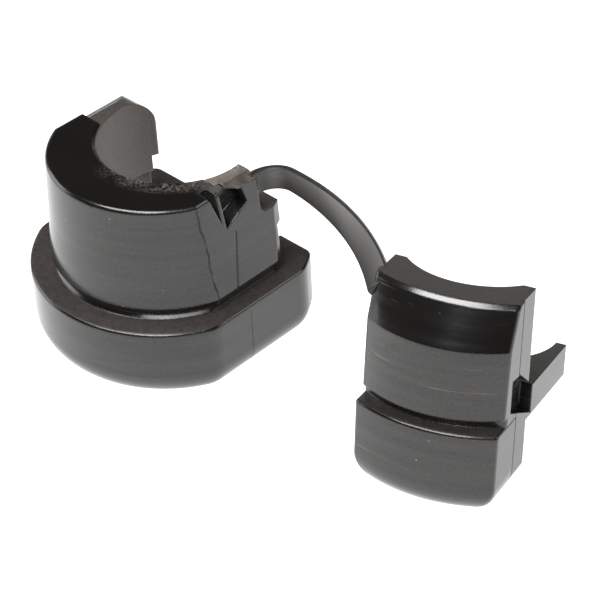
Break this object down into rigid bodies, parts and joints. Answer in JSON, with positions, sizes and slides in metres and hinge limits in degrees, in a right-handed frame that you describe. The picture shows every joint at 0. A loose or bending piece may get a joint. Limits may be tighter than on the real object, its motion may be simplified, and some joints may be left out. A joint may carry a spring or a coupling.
{
  "type": "cord strain relief bushing",
  "caption": "Black nylon strain relief bushing for a power cord: a C-shaped body that snaps into a double-D panel hole, and a locking wedge on a flexible strap.",
  "frame": {"origin": "middle of the flange's underside, on the axis of the panel hole", "axes": "+Z along the cord from the flange to the narrow end, +Y out of the body's mouth, +X towards the strap"},
  "size_m": [0.0552, 0.0239, 0.022],
  "materials": {
    "black_nylon": "moulded black nylon, glossy walls and a duller textured arm top"
  },
  "bodies": {
    "bushing": {"bushing_body": "black_nylon", "tether_root": "black_nylon"},
    "tether": {"tether_tip": "black_nylon"},
    "wedge": {"locking_wedge": "black_nylon"}
  },
  "joints": [
    {"name": "fold", "type": "hinge", "parent": "bushing", "child": "tether", "pos_m": [0.01621, 0.00648, 0.00963], "axis": [-0.0313, 0.0975, 0.9947], "range_deg": [0, 163.26], "stiffness_Nm_per_rad": 0.005, "deforming": ["tether_root", "tether_tip"]},
    {"name": "press", "type": "slide", "parent": "tether", "child": "wedge", "axis": [-0.2805, 0.939, -0.1989], "range_m": [0, 0.014], "stiffness_N_per_m": 30, "deforming": ["tether_root", "tether_tip"]}
  ]
}
